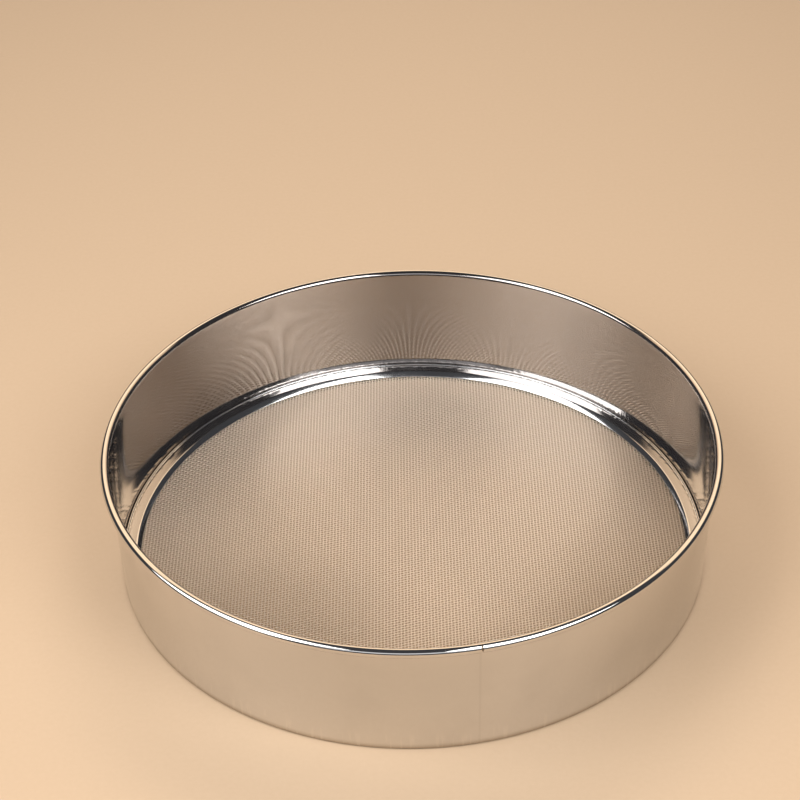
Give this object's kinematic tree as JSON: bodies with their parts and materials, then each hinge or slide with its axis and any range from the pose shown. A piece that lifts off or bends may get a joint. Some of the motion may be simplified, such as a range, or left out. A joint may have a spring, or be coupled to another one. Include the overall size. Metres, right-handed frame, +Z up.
{
  "type": "drum sieve",
  "caption": "Round drum sieve: a tapered stainless hoop with a rolled rim, wire cloth stretched over its base and a pressed ring that clamps the cloth. Sifts flour and sugar.",
  "frame": {"origin": "centre of the footprint, on the surface that the sieve stands on", "axes": "+Z up along the drum's axis, out of its open top; -Y towards the side with the hoop's weld seam; +X to the right seen from there"},
  "size_m": [0.2998, 0.2998, 0.064],
  "materials": {
    "hoop_steel": "satin polished stainless sheet",
    "rim_wire_steel": "drawn wire",
    "ring_steel": "bright polished stainless sheet",
    "mesh_wire": "woven stainless wire"
  },
  "bodies": {
    "root": {"drum_hoop": "hoop_steel", "rim_wire": "rim_wire_steel", "clamp_ring": "ring_steel", "mesh_disc": "mesh_wire"}
  },
  "joints": []
}
